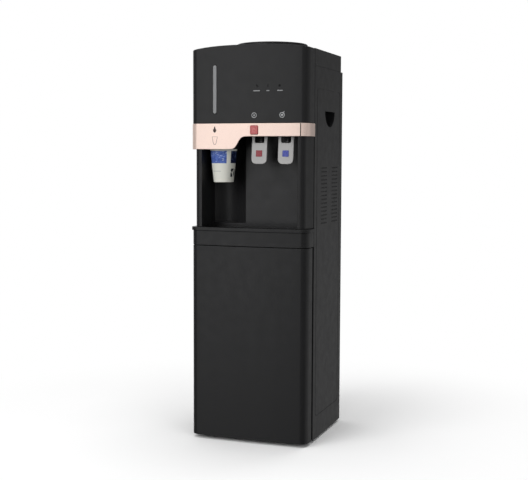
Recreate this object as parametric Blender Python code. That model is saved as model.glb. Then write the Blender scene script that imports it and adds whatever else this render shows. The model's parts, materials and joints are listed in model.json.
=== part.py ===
"""Floor-standing hot and cold water dispenser with a built-in cup dispenser.

Frame: +X to the object's left-hand side as it is faced (the viewer's right), +Y to the rear, +Z up.
The origin is at the centre of the bounding box's bottom, on the floor. All sizes are in metres.
"""

import math

import bmesh
import bpy
from mathutils import Matrix, Vector

# ---- driving dimensions ---------------------------------------------------------------------
WIDTH = 0.325                    # across the side panels
DEPTH = 0.323                    # from the front of the tray's lip to the back edge of the sides
LIP = 0.0035                     # how far the tray's lip stands out all round
CORNER_RADIUS = 0.020            # the front's vertical corners, in plan
BOW_RADIUS = 2.6                 # the front face is a very flat arc in plan
GAP = 0.0003                     # clearance between pieces that touch
WALL = 0.003                     # outer plastic shells
THIN = 0.0025                    # inner plastic shells

HALF = WIDTH / 2
REAR = DEPTH / 2
FRONT = -DEPTH / 2 + LIP         # the front face on the centre line
MODULE_DEPTH = 0.0595            # front mouldings wrap back this far
SEAM_DEPTH = 0.061               # where the side panels begin
DOOR_WRAP = 0.0495               # the door stops short, which leaves a finger gap

# Heights above the floor
BODY_LOW = 0.006
DOOR_LOW, DOOR_TOP = 0.0095, 0.5213
TRAY_LOW, LIP_LOW, TRAY_TOP = 0.5225, 0.5615, 0.5705
ALCOVE_TOP = 0.850
BAND_TAB_LOW, BAND_LOW, BAND_TOP = 0.7755, 0.8090, 0.8425
SHOULDER = 0.992                 # the joint between side panels and top cover
HEAD_SIDE_TOP, HEAD_CROWN = 1.0340, 1.0445
COVER_TOP = 1.0360
COLLAR_TOP = 1.0610

# The recess where cups are filled
FRAME_INSET = 0.006              # its frame stands in from the rest of the front
OPENING_HALF, RETURN_WALL = 0.1330, 0.0020
ALCOVE_HALF = OPENING_HALF + RETURN_WALL + GAP
LINER_BACK = 0.0925              # depth of the flat wall that carries the taps
NICHE_X, NICHE_DEPTH, NICHE_RADIUS = -0.0938, 0.0455, 0.0710
NICHE_LOW, NICHE_TOP = 0.578, 0.832

# The cup dispenser
CUP_X, CUP_DEPTH = -0.0880, 0.0520
CUP_LOW, CUP_HEIGHT = 0.689, 0.095
CUP_FOOT_RADIUS, CUP_TOP_RADIUS, CUP_RIM_RADIUS = 0.0265, 0.0364, 0.0376
CUP_STACK_STEP = 0.015
TUBE_RADIUS, TUBE_WALL, TUBE_LOW = 0.0385, 0.0016, 0.7765

# The taps
TAP_XS = {"hot": 0.0220, "cold": 0.0950}
TAP_DEPTH = 0.047                # the valve's vertical axis
TAP_LOW, TAP_TOP = 0.7945, 0.838
PIVOT_Z = 0.826
PADDLE_DEPTH, PADDLE_THICKNESS = 0.0315, 0.004
PADDLE_WIDTH, PADDLE_LOW, PADDLE_TOP = 0.0422, 0.7362, 0.8345
PADDLE_TILT = math.radians(-5)   # at rest the lower edge hangs forward

# The top
SEAT_Y = FRONT + 0.1875          # the bottle stands over the cold tank
COLLAR_RADIUS = 0.097
TANK_LOW, TANK_TOP = 0.838, 0.990

# The cabinet
HINGE_X, HINGE_DEPTH = -HALF + 0.010, 0.0415
HUMP_TOP, HUMP_DEPTH, CABINET_DEPTH = 0.262, 0.178, 0.285
PANEL_DEPTH = 0.2955             # front face of the rear panel

COLOURS = {                      # base colour, roughness, metallic
    "black_plastic": ((0.030, 0.030, 0.032), 0.45, 0.0),
    "rose_gold": ((0.80, 0.60, 0.50), 0.30, 0.6),
    "grey_plastic": ((0.42, 0.42, 0.42), 0.35, 0.0),
    "red_plastic": ((0.55, 0.05, 0.05), 0.35, 0.0),
    "blue_plastic": ((0.05, 0.09, 0.50), 0.35, 0.0),
    "window_plastic": ((0.25, 0.25, 0.25), 0.30, 0.0),
    "paper": ((0.80, 0.80, 0.76), 0.80, 0.0),
    "white_liner": ((0.70, 0.70, 0.69), 0.50, 0.0),
    "foam": ((0.75, 0.75, 0.72), 0.90, 0.0),
    "steel": ((0.55, 0.55, 0.55), 0.30, 1.0),
    "copper": ((0.70, 0.35, 0.22), 0.35, 1.0),
    "black_steel": ((0.02, 0.02, 0.02), 0.50, 0.2),
    "silicone": ((0.65, 0.67, 0.66), 0.50, 0.0),
    "rubber": ((0.02, 0.02, 0.02), 0.80, 0.0),
    "circuit_board": ((0.02, 0.16, 0.07), 0.50, 0.0),
}


# ---- tools ----------------------------------------------------------------------------------
def material(name):
    """The named material, made on first use."""
    found = bpy.data.materials.get(name)
    if found:
        return found
    colour, roughness, metallic = COLOURS[name]
    made = bpy.data.materials.new(name)
    made.use_nodes = True
    shader = made.node_tree.nodes["Principled BSDF"]
    shader.inputs["Base Color"].default_value = (*colour, 1.0)
    shader.inputs["Roughness"].default_value = roughness
    shader.inputs["Metallic"].default_value = metallic
    return made


def add_object(name, bm, finish):
    """Turns a bmesh into an object of the scene, with outward normals."""
    bmesh.ops.recalc_face_normals(bm, faces=bm.faces)
    mesh = bpy.data.meshes.new(name)
    bm.to_mesh(mesh)
    bm.free()
    made = bpy.data.objects.new(name, mesh)
    bpy.context.scene.collection.objects.link(made)
    made.data.materials.append(material(finish))
    mesh.shade_smooth()
    mesh.set_sharp_from_angle(angle=math.radians(30))
    return made


def prism(name, outline, low, high, finish="black_plastic", axis="Z"):
    """Extrudes a closed outline from low to high along an axis.
    The outline is (x, y) for Z, (x, z) for Y and (y, z) for X."""
    place = {
        "Z": lambda a, b, c: (a, b, c),
        "Y": lambda a, b, c: (a, c, b),
        "X": lambda a, b, c: (c, a, b),
    }[axis]
    bm = bmesh.new()
    ends = [[bm.verts.new(place(a, b, c)) for a, b in outline] for c in (low, high)]
    bm.faces.new(ends[0])
    bm.faces.new(ends[1])
    count = len(outline)
    for i in range(count):
        j = (i + 1) % count
        bm.faces.new((ends[0][i], ends[0][j], ends[1][j], ends[1][i]))
    return add_object(name, bm, finish)


def box(name, xs, ys, zs, finish="black_plastic"):
    """A block between the given limits on each axis."""
    corners = [(xs[0], ys[0]), (xs[1], ys[0]), (xs[1], ys[1]), (xs[0], ys[1])]
    return prism(name, corners, zs[0], zs[1], finish)


def boxes(name, limits, finish="black_plastic"):
    """Several separate blocks in one mesh, for use as a cutter."""
    bm = bmesh.new()
    for xs, ys, zs in limits:
        size = Vector((xs[1] - xs[0], ys[1] - ys[0], zs[1] - zs[0]))
        centre = Vector((sum(xs) / 2, sum(ys) / 2, sum(zs) / 2))
        matrix = Matrix.Translation(centre) @ Matrix.Diagonal((*size, 1.0))
        bmesh.ops.create_cube(bm, size=1.0, matrix=matrix)
    return add_object(name, bm, finish)


def circle(radius, count=32, centre=(0.0, 0.0)):
    """Points round a circle."""
    turns = [2 * math.pi * i / count for i in range(count)]
    return [(centre[0] + radius * math.cos(t), centre[1] + radius * math.sin(t)) for t in turns]


def rounded(xs, zs, radii, count=5):
    """A rectangle with its own radius at each corner: low-left, low-right, top-right, top-left."""
    corners = [(xs[0], zs[0], 1, 1, 180), (xs[1], zs[0], -1, 1, 270)]
    corners += [(xs[1], zs[1], -1, -1, 0), (xs[0], zs[1], 1, -1, 90)]
    points = []
    for (x, z, inx, inz, start), radius in zip(corners, radii):
        if not radius:
            points.append((x, z))
            continue
        for i in range(count + 1):
            turn = math.radians(start + 90 * i / count)
            points.append((
                x + inx * radius + radius * math.cos(turn),
                z + inz * radius + radius * math.sin(turn),
            ))
    return points


def cylinder(name, centre, radius, low, high, finish="black_plastic", axis="Z", count=32):
    """A round bar along an axis. The centre is in the plane across that axis."""
    return prism(name, circle(radius, count, centre), low, high, finish, axis)


def turned(name, profile, centre, finish="black_plastic", count=32):
    """Revolves a closed profile of (radius, z) points about the vertical line through centre."""
    bm = bmesh.new()
    rings = []
    for radius, z in profile:
        if radius == 0:
            rings.append([bm.verts.new((*centre, z))] * count)
        else:
            rings.append([bm.verts.new((x, y, z)) for x, y in circle(radius, count, centre)])
    for near, far in zip(rings, rings[1:] + rings[:1]):
        for i in range(count):
            j = (i + 1) % count
            corners = list(dict.fromkeys((near[i], near[j], far[j], far[i])))
            if len(corners) > 2:
                bm.faces.new(corners)
    return add_object(name, bm, finish)


def tube(name, points, radius, finish, sides=8):
    """A round tube with flat ends along a line of points."""
    curve = bpy.data.curves.new(name, "CURVE")
    curve.dimensions = "3D"
    curve.bevel_depth = radius
    curve.bevel_resolution = sides // 2 - 2
    curve.use_fill_caps = True
    spline = curve.splines.new("POLY")
    spline.points.add(len(points) - 1)
    for spot, point in zip(spline.points, points):
        spot.co = (*point, 1.0)
    made = bpy.data.objects.new(name, curve)
    bpy.context.scene.collection.objects.link(made)
    curve.materials.append(material(finish))
    return made


def smooth_route(stops, steps):
    """A smooth curve through the stops, with its first and last stretch straight."""
    inner = stops[1:-1]
    ends = [inner[0], *inner, inner[-1]]
    points = [Vector(stops[0])]
    for a, b, c, d in zip(ends, ends[1:], ends[2:], ends[3:]):
        a, b, c, d = (Vector(p) for p in (a, b, c, d))
        for i in range(steps):
            t = i / steps
            points.append(
                0.5 * (2 * b + (c - a) * t + (2 * a - 5 * b + 4 * c - d) * t**2
                       + (3 * b - a - 3 * c + d) * t**3)
            )
    return [*points, Vector(inner[-1]), Vector(stops[-1])]


def combine(target, operation, tools):
    """Adds one Boolean per tool to the target, and hides the tools."""
    for tool in tools:
        modifier = target.modifiers.new(operation.lower(), "BOOLEAN")
        modifier.operation = operation
        modifier.object = tool
        tool.hide_render = True
        tool.display_type = "WIRE"
    return target


def cut(target, *tools):
    return combine(target, "DIFFERENCE", tools)


def join(target, *tools):
    return combine(target, "UNION", tools)


def hang(name, place, tilt, pieces):
    """Parents pieces to an empty at place, and tilts them all about the X axis through it."""
    pivot = bpy.data.objects.new(name, None)
    pivot.location = place
    pivot.rotation_euler = (tilt, 0.0, 0.0)
    bpy.context.scene.collection.objects.link(pivot)
    for piece in pieces:
        piece.parent = pivot
        piece.matrix_parent_inverse = Matrix.Translation(-Vector(place))


def plan_arc(inset, stations=None, half=HALF, front_steps=8):
    """The bowed front and its two round corners, from left to right, moved inwards by inset.
    stations are x positions on the front that need a point of their own."""
    radius, bow, corner_steps = CORNER_RADIUS - inset, BOW_RADIUS - inset, 6
    centre_x = half - CORNER_RADIUS
    centre_y = FRONT + BOW_RADIUS - math.sqrt((BOW_RADIUS - CORNER_RADIUS) ** 2 - centre_x**2)
    lean = math.asin(centre_x / (BOW_RADIUS - CORNER_RADIUS))
    left = []
    for i in range(corner_steps + 1):
        turn = math.pi + (math.pi / 2 - lean) * i / corner_steps
        left.append((-centre_x + radius * math.cos(turn), centre_y + radius * math.sin(turn)))
    leans = [lean * (2 * i / front_steps - 1) for i in range(1, front_steps)]
    leans += [math.asin(x / BOW_RADIUS) for x in stations or []]
    front = [
        (bow * math.sin(a), FRONT + BOW_RADIUS - bow * math.cos(a)) for a in sorted(leans)
    ]
    return [*left, *front, *((-x, y) for x, y in reversed(left))]


def plan(inset, depth, half=HALF, flare=0.0, **options):
    """A closed outline: the front arc, with sides that spread by flare back to the depth."""
    reach = half - inset + flare
    return [(-reach, FRONT + depth), *plan_arc(inset, half=half, **options),
            (reach, FRONT + depth)]


def wrapped(name, inset, thickness, depth, low, high, finish="black_plastic", **options):
    """A shell that wraps round the front. low and high are functions of x."""
    outer = plan(inset, depth, **options)
    inner = plan(inset + thickness, depth, **options)
    bm = bmesh.new()
    sections = []
    for (xo, yo), (xi, yi) in zip(outer, inner):
        corners = ((xo, yo, low(xo)), (xo, yo, high(xo)), (xi, yi, high(xo)), (xi, yi, low(xo)))
        sections.append([bm.verts.new(c) for c in corners])
    for here, there in zip(sections, sections[1:]):
        for i in range(4):
            j = (i + 1) % 4
            bm.faces.new((here[i], here[j], there[j], there[i]))
    bm.faces.new(sections[0])
    bm.faces.new(sections[-1])
    return add_object(name, bm, finish)


def at(depth):
    """The y of a point this far behind the front face."""
    return FRONT + depth


def span(near, far):
    """The y limits of something between two depths behind the front face."""
    return at(near), at(far)


# ---- the shell ------------------------------------------------------------------------------
def band_edge(x):
    """The lower edge of the trim band: a tab on the left, an S-curve, then a narrow strip."""
    middle, spread = -0.0272, 0.0092
    rise = (1 + math.tanh((x - middle) / spread)) / 2
    return BAND_TAB_LOW + (BAND_LOW - BAND_TAB_LOW) * rise


def head_edge(x):
    """The arched upper edge of the head panel."""
    return HEAD_CROWN - (HEAD_CROWN - HEAD_SIDE_TOP) * min(1.0, abs(x) / HALF) ** 3


def lock_outline(grow):
    """The outline of the child lock button, grown on every side."""
    xs = (0.0073 - grow, 0.0285 + grow)
    zs = (0.8137 - grow, 0.8367 + grow)
    return rounded(xs, zs, [0.003 + grow] * 4, 3)


def make_head():
    panel = wrapped("head_panel", 0.0, WALL, MODULE_DEPTH, lambda x: BAND_TOP + GAP, head_edge,
                    front_steps=14)
    slot = (-0.0975, -0.0875), (0.868, 0.9935)
    cut(panel, prism("window_hole", rounded(*slot, [0.0049] * 4, 4), *span(-0.01, 0.01), axis="Y"))
    inner = (-0.0972, -0.0878), (0.8683, 0.9932)
    prism("cup_window", rounded(*inner, [0.0046] * 4, 4), *span(0.0002, 0.0075),
          "window_plastic", "Y")
    box("indicator_board", (0.005, 0.110), span(0.008, 0.0096), (0.856, 0.951), "circuit_board")


def make_band():
    stations = [-0.0272 + 0.0035 * i for i in range(-7, 8)]
    band = wrapped("trim_band", -0.0015, 0.0020, MODULE_DEPTH, band_edge, lambda x: BAND_TOP,
                   "rose_gold", stations=stations)
    cut(band, prism("lock_hole", lock_outline(0.0004), *span(-0.02, 0.02), axis="Y"))
    prism("child_lock_button", lock_outline(0.0), *span(-0.0035, 0.0095), "red_plastic", "Y")


def make_front_frame():
    """The frame of the alcove: two posts whose sides flare out to the rear and whose returns
    run into the alcove, and a bridge behind the trim band."""
    top = 0.829
    frame = wrapped("front_frame", FRAME_INSET, WALL, MODULE_DEPTH,
                    lambda x: TRAY_TOP + GAP, lambda x: BAND_TOP - 0.001,
                    half=0.1595, flare=0.008)
    hole = box("alcove_hole", (-OPENING_HALF, OPENING_HALF), span(-0.02, 0.03), (0.5, top))
    lock = prism("lock_hole_2", lock_outline(0.001), *span(-0.02, 0.03), axis="Y")
    cut(frame, hole, lock)
    for side in (-1, 1):
        reach = sorted((side * OPENING_HALF, side * (OPENING_HALF + RETURN_WALL)))
        join(frame, box(f"return{side}", reach, span(0.0110, 0.044), (TRAY_TOP + GAP, top)))


def niche_outline(grow):
    """The plan of the round niche behind the cups, which ends on the alcove's left wall."""
    radius, wall = NICHE_RADIUS + grow, -ALCOVE_HALF - grow
    steps = 18
    sweep = math.acos((wall - NICHE_X) / radius)
    turns = [sweep * i / steps for i in range(steps + 1)]
    arc = [(NICHE_X + radius * math.cos(t), at(NICHE_DEPTH) + radius * math.sin(t)) for t in turns]
    return [*arc, (wall, at(NICHE_DEPTH))]


def make_alcove():
    """The moulded recess: a box with a flat wall for the taps and a round niche for the cups."""
    half = ALCOVE_HALF + THIN
    liner = box("alcove_liner", (-half, half), span(0.0133, LINER_BACK + THIN),
                (TRAY_LOW, ALCOVE_TOP + THIN))
    niche = prism("niche_shell", niche_outline(THIN), NICHE_LOW - THIN, NICHE_TOP + THIN)
    join(liner, niche)
    hollow = box("alcove_hollow", (-ALCOVE_HALF, ALCOVE_HALF), span(-0.02, LINER_BACK),
                 (TRAY_LOW + THIN, ALCOVE_TOP))
    niche_hollow = prism("niche_hollow", niche_outline(0.0), NICHE_LOW, NICHE_TOP)
    tray_way = box("tray_way", (-0.2, 0.2), span(-0.02, SEAM_DEPTH), (0.5, TRAY_TOP + 0.0015))
    cup_way = cylinder("cup_way", (CUP_X, at(CUP_DEPTH)), 0.0408, 0.84, 0.87)
    cut(liner, hollow, niche_hollow, tray_way, cup_way)
    for kind, x in TAP_XS.items():
        cut(liner, cylinder(kind + "_tap_hole", (x, 0.822), 0.0066, *span(0.08, 0.11), axis="Y",
                            count=16))


def handle_outline(grow, reach_up):
    """The grip's side view: a half circle, wider than high, with straight sides above it."""
    centre, half, low, top = 0.198, 0.0455, 0.8365, 0.8780
    steps = 12
    turns = [math.pi * (1 + i / steps) for i in range(steps + 1)]
    bowl = [(at(centre) + (half + grow) * math.cos(t), top + (top - low + grow) * math.sin(t))
            for t in turns]
    return [*bowl, (at(centre) + half + grow, top + reach_up + grow),
            (at(centre) - half - grow, top + reach_up + grow)]


def make_side_panels():
    """Flat panels with a flange turned in at the front, a moulded-in grip and cooling slots."""
    grip_depth, undercut = 0.026, 0.016
    for side, sign in (("left", -1), ("right", 1)):
        def xs(outer, inner, sign=sign):
            """Limits from the outer to the inner distance in from the side's face."""
            return tuple(sorted((sign * (HALF - outer), sign * (HALF - inner))))

        panel = box(f"side_panel_{side}", xs(0, WALL), (at(SEAM_DEPTH), REAR),
                    (BODY_LOW, SHOULDER))
        flange = box(f"flange_{side}", xs(0.001, 0.0095), span(SEAM_DEPTH, SEAM_DEPTH + WALL),
                     (0.0100, SHOULDER))
        shell = prism(f"grip_shell_{side}", handle_outline(THIN, undercut),
                      *xs(0.001, grip_depth + THIN), axis="X")
        join(panel, flange, shell)
        cut(panel,
            prism(f"grip_mouth_{side}", handle_outline(0.0, 0.0), *xs(-0.01, 0.01), axis="X"),
            prism(f"grip_hollow_{side}", handle_outline(0.0, undercut), *xs(WALL, grip_depth),
                  axis="X"),
            box(f"bracket_notch_{side}", xs(WALL, 0.02), span(0.05, 0.07), (0.5225, 0.5270)))
        slots = []
        for near, far in ((0.1225, 0.1725), (0.2195, 0.2735)):
            for row in range(15):
                low = 0.5790 + 0.0105 * row
                slots.append((xs(-0.01, 0.01), span(near, far), (low, low + 0.0026)))
        cut(panel, boxes(f"vent_slots_{side}", slots))


def make_top():
    """The top cover with its collar, the bottle seat that lifts out, and the cup tube's lid."""
    cover_rear = REAR - 0.016
    cover = box("top_cover", (-HALF, HALF), (at(SEAM_DEPTH), cover_rear),
                (SHOULDER + GAP, COVER_TOP))
    tongue = prism("cover_tongue", plan(WALL + 0.0005, SEAM_DEPTH + 0.001), 1.012, COVER_TOP)
    collar_rings = [(0.0, COVER_TOP - 0.002), (0.101, COVER_TOP - 0.002), (0.101, 1.0375)]
    collar_rings += [(0.0985, 1.041), (COLLAR_RADIUS, 1.0585), (0.0955, COLLAR_TOP)]
    collar_rings += [(0.0, COLLAR_TOP)]
    collar = turned("collar_block", collar_rings, (0.0, SEAT_Y), count=48)
    join(cover, tongue, collar)
    hollow = box("cover_hollow", (-HALF + WALL, HALF - WALL), (at(SEAM_DEPTH), cover_rear - WALL),
                 (0.9, COVER_TOP - WALL))
    front_hollow = prism("tongue_hollow", plan(2 * WALL + 0.0005, SEAM_DEPTH + 0.002), 0.9,
                         COVER_TOP - WALL)
    bore = cylinder("seat_bore", (0.0, SEAT_Y), 0.0878, COVER_TOP, 1.1, count=48)
    well = cylinder("seat_well", (0.0, SEAT_Y), 0.070, 0.9, 1.1, count=48)
    cup_hole = cylinder("cup_hole", (CUP_X, at(CUP_DEPTH)), TUBE_RADIUS + TUBE_WALL, 0.9, 1.1)
    cut(cover, hollow, front_hollow, bore, well, cup_hole)

    seat = [(0.0862, 1.0590), (0.0862, 1.0363), (0.0837, 1.0363), (0.0837, 1.0535)]
    seat += [(0.0400, 1.0165), (0.0345, 1.0110), (0.0345, 0.9950), (0.0320, 0.9950)]
    seat += [(0.0320, 1.0125), (0.0400, 1.0200), (0.0800, 1.0565), (0.0820, 1.0590)]
    turned("bottle_seat", seat, (0.0, SEAT_Y), count=36)

    skirt = TUBE_RADIUS - 0.0006
    lid = [(0.0, 1.0295), (skirt, 1.0295), (skirt, 1.0363), (0.0455, 1.0363)]
    lid += [(0.0455, 1.0385), (0.0445, 1.0395), (0.0, 1.0395)]
    turned("cup_tube_lid", lid, (CUP_X, at(CUP_DEPTH)))


def cup_profile(low):
    """A paper cup's section: wall, rolled rim and a bottom set up inside the foot."""
    high = low + CUP_HEIGHT
    wall = 0.0008
    taper = (CUP_TOP_RADIUS - CUP_FOOT_RADIUS) / (CUP_HEIGHT - 0.003)
    return [
        (CUP_FOOT_RADIUS, low), (CUP_TOP_RADIUS, high - 0.003), (CUP_RIM_RADIUS, high - 0.0025),
        (CUP_RIM_RADIUS, high - 0.0005), (CUP_TOP_RADIUS, high), (CUP_TOP_RADIUS - wall, high - 0.003),
        (CUP_FOOT_RADIUS + 0.009 * taper - wall, low + 0.009), (0.0, low + 0.009),
        (0.0, low + 0.008), (CUP_FOOT_RADIUS - wall, low + 0.008), (CUP_FOOT_RADIUS - wall, low),
    ]


def make_cup_dispenser():
    """A tube that holds nested cups, which are pulled out of its open lower end one at a time."""
    centre = (CUP_X, at(CUP_DEPTH))
    inner, outer, lip = TUBE_RADIUS, TUBE_RADIUS + TUBE_WALL, TUBE_RADIUS - 0.0005
    holder = turned("cup_tube", [(lip, TUBE_LOW), (outer, TUBE_LOW), (outer, 1.0325),
                                 (inner, 1.0325), (inner, TUBE_LOW + 0.006),
                                 (lip, TUBE_LOW + 0.005)], centre)
    sight = box("sight_slot", (-0.0975, -0.0875), span(-0.02, 0.03), (0.866, 0.995))
    cut(holder, sight)
    turned("cup", cup_profile(CUP_LOW), centre, "paper", 28)
    turned("cup_next", cup_profile(CUP_LOW + CUP_STACK_STEP), centre, "paper", 28)


# ---- the taps -------------------------------------------------------------------------------
def make_tap(kind, x):
    """One tap: valve body on the wall, fixing nut, stem and spring inside, and a push paddle."""
    axis = (x, at(TAP_DEPTH))
    shell = [(0.004, TAP_LOW), (0.007, TAP_LOW), (0.007, 0.803), (0.011, 0.807), (0.011, TAP_TOP)]
    shell += [(0.0032, TAP_TOP), (0.0032, 0.834), (0.0075, 0.834), (0.0075, 0.806)]
    shell += [(0.004, 0.806)]
    body = turned(f"{kind}_tap_body", shell, axis, count=20)
    arm = cylinder(f"{kind}_arm", (x, 0.822), 0.009, *span(0.056, LINER_BACK - GAP), axis="Y")
    thread = cylinder(f"{kind}_thread", (x, 0.822), 0.006, *span(0.085, 0.118), axis="Y", count=16)
    join(body, arm, thread)
    for side in (-1, 1):
        reach = sorted((x + side * 0.0095, x + side * 0.0168))
        trunnion = cylinder(f"{kind}_trunnion{side}", (at(TAP_DEPTH), PIVOT_Z), 0.0025, *reach,
                            axis="X", count=16)
        join(body, trunnion)
    nut = cylinder(f"{kind}_tap_nut", (x, 0.822), 0.011, *span(LINER_BACK + THIN + GAP, 0.1015),
                   "white_liner", "Y", 6)
    cut(nut, cylinder(f"{kind}_nut_hole", (x, 0.822), 0.0063, *span(0.09, 0.11), axis="Y", count=16))

    disc, stem = 0.0066, 0.0026
    turned(f"{kind}_valve_stem", [(0.0, 0.8064), (disc, 0.8064), (disc, 0.8092), (stem, 0.8092),
                                  (stem, 0.842), (0.0, 0.842)], axis, "silicone", 16)
    turns, per_turn, low, high = 4, 10, 0.8102, 0.8330
    coil = []
    for i in range(turns * per_turn + 1):
        turn = 2 * math.pi * i / per_turn
        rise = low + (high - low) * i / (turns * per_turn)
        coil.append((axis[0] + 0.0052 * math.cos(turn), axis[1] + 0.0052 * math.sin(turn), rise))
    tube(f"{kind}_tap_spring", coil, 0.0006, "steel", 4)

    half = PADDLE_WIDTH / 2
    outline = rounded((x - half, x + half), (PADDLE_LOW, PADDLE_TOP), (0.012, 0.012, 0.006, 0.006), 4)
    paddle = prism(f"{kind}_paddle", outline, *span(PADDLE_DEPTH, PADDLE_DEPTH + PADDLE_THICKNESS),
                   "grey_plastic", "Y")
    ears = [box(f"{kind}_ear{side}", sorted((x + side * 0.0135, x + side * 0.0175)),
                span(PADDLE_DEPTH + 0.001, TAP_DEPTH + 0.006), (PIVOT_Z - 0.006, PIVOT_Z + 0.006))
            for side in (-1, 1)]
    window = rounded((x - 0.0135, x + 0.0135), (0.791, 0.850), (0.004, 0.004, 0.0, 0.0), 3)
    opening = prism(f"{kind}_window", window, *span(0.02, PADDLE_DEPTH + 0.0045), axis="Y")
    bearing = cylinder(f"{kind}_bearing", (at(TAP_DEPTH), PIVOT_Z), 0.0028, x - 0.03, x + 0.03,
                       axis="X", count=16)
    join(paddle, *ears)
    cut(paddle, opening, bearing)
    colour = "red_plastic" if kind == "hot" else "blue_plastic"
    outline = rounded((x - 0.0085, x + 0.0085), (0.7550, 0.7715), [0.0012] * 4, 2)
    badge = prism(f"{kind}_badge", outline, *span(PADDLE_DEPTH - 0.0013, PADDLE_DEPTH - GAP),
                  colour, "Y")
    hang(f"{kind}_pivot", (x, at(TAP_DEPTH), PIVOT_Z), PADDLE_TILT,
         [paddle, badge, opening, bearing, *ears])


# ---- the drip tray --------------------------------------------------------------------------
def make_drip_tray():
    """The front of the tray wraps round the body, and its pan runs back into the alcove."""
    tray = prism("drip_tray", plan(0.0, MODULE_DEPTH), TRAY_LOW, TRAY_TOP)
    join(tray, prism("tray_lip", plan(-LIP, MODULE_DEPTH), LIP_LOW, TRAY_TOP))
    under = prism("tray_hollow", plan(WALL, MODULE_DEPTH + 0.01), 0.5, TRAY_TOP - 0.006)
    cut(tray, under)
    pan = box("pan", (-0.1340, 0.1340), span(0.0045, 0.0885), (0.5280, TRAY_TOP - 0.0015))
    join(tray, pan)
    basin = box("basin", (-0.1290, 0.1290), span(0.0130, 0.0830), (0.5310, 0.6))
    ledge = box("ledge", (-0.1320, 0.1320), span(0.0095, 0.0860), (TRAY_TOP - 0.0070, 0.6))
    cut(tray, basin, ledge)
    grille = box("drip_grille", (-0.1315, 0.1315), span(0.0100, 0.0855),
                 (TRAY_TOP - 0.0067, TRAY_TOP - 0.0037))
    slots = [((x - 0.0021, x + 0.0021), span(0.018, 0.0775), (0.55, 0.6))
             for x in (0.0102 * i for i in range(-12, 13))]
    cut(grille, boxes("grille_slots", slots))


# ---- the cabinet ----------------------------------------------------------------------------
def ring_frame(name, xs, ys, zs, width, finish):
    """A rectangular ring in the XZ plane."""
    frame = box(name, xs, ys, zs, finish)
    hole = box(name + "_hole", (xs[0] + width, xs[1] - width), (ys[0] - 0.01, ys[1] + 0.01),
               (zs[0] + width, zs[1] - width))
    return cut(frame, hole)


def make_door():
    door = prism("door_panel", plan(0.0, DOOR_WRAP), DOOR_LOW, DOOR_TOP)
    hollow = prism("door_hollow", plan(WALL, DOOR_WRAP + 0.01), DOOR_LOW + WALL, DOOR_TOP - WALL)
    pins = cylinder("door_pin_holes", (HINGE_X, at(HINGE_DEPTH)), 0.0033, 0.0, 0.6, count=16)
    cut(door, hollow, pins)
    liner = box("door_liner", (-0.1420, 0.1590), span(0.0400, 0.0465), (0.0130, 0.5170),
                "white_liner")
    pan = box("liner_pan", (-0.1200, 0.1370), span(0.0425, 0.0700), (0.0350, 0.4950))
    cut(liner, pan)
    ring_frame("door_gasket", (-0.1410, 0.1480), span(0.0468, 0.0605), (0.0180, 0.5120), 0.011,
               "rubber")


def make_hinges():
    """Two brackets on the cabinet, each with the pin that the door turns on."""
    axis = (HINGE_X, at(HINGE_DEPTH))
    for end, plate, pin in (("top", (0.5232, 0.5262), (0.5120, 0.5245)),
                            ("bottom", (0.0060, 0.0090), (0.0075, 0.0190))):
        bracket = box(f"hinge_bracket_{end}", (HINGE_X - 0.006, HINGE_X + 0.012),
                      span(0.0345, 0.0900), plate, "steel")
        join(bracket, cylinder(f"{end}_pin", axis, 0.0030, *pin, count=16))


def make_cabinet():
    half = 0.1525
    front = SEAM_DEPTH + 0.0005
    liner = box("cabinet_liner", (-half, half), span(front, CABINET_DEPTH), (HUMP_TOP, 0.5200),
                "white_liner")
    lower = box("cabinet_lower", (-half, half), span(front, HUMP_DEPTH), (0.0180, HUMP_TOP + 0.004))
    join(liner, lower)
    wide = half - THIN
    cut(liner,
        box("store_top", (-wide, wide), span(0.0, CABINET_DEPTH - THIN), (HUMP_TOP + THIN, 0.5175)),
        box("store_low", (-wide, wide), span(0.0, HUMP_DEPTH - THIN), (0.0205, HUMP_TOP + 0.01)))
    notch = box("hinge_notch", (-0.17, -0.135), span(0.05, 0.095), (0.515, 0.53))
    cut(liner, notch)

    base = box("base_plate", (-0.159, 0.159), (at(0.0950), REAR - 0.005), (0.0064, 0.0094), "steel")
    sill = box("base_sill", (-0.135, 0.159), (at(SEAM_DEPTH + 0.001), at(0.0960)), (0.0064, 0.0094))
    join(base, sill)
    for end, y in (("front", at(0.080)), ("rear", REAR - 0.035)):
        for side, x in (("left", -0.120), ("right", 0.120)):
            foot = [(0.0, 0.0), (0.014, 0.0), (0.016, 0.002), (0.016, 0.0061), (0.0, 0.0061)]
            turned(f"foot_{end}_{side}", foot, (x, y), "rubber", 20)


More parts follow.
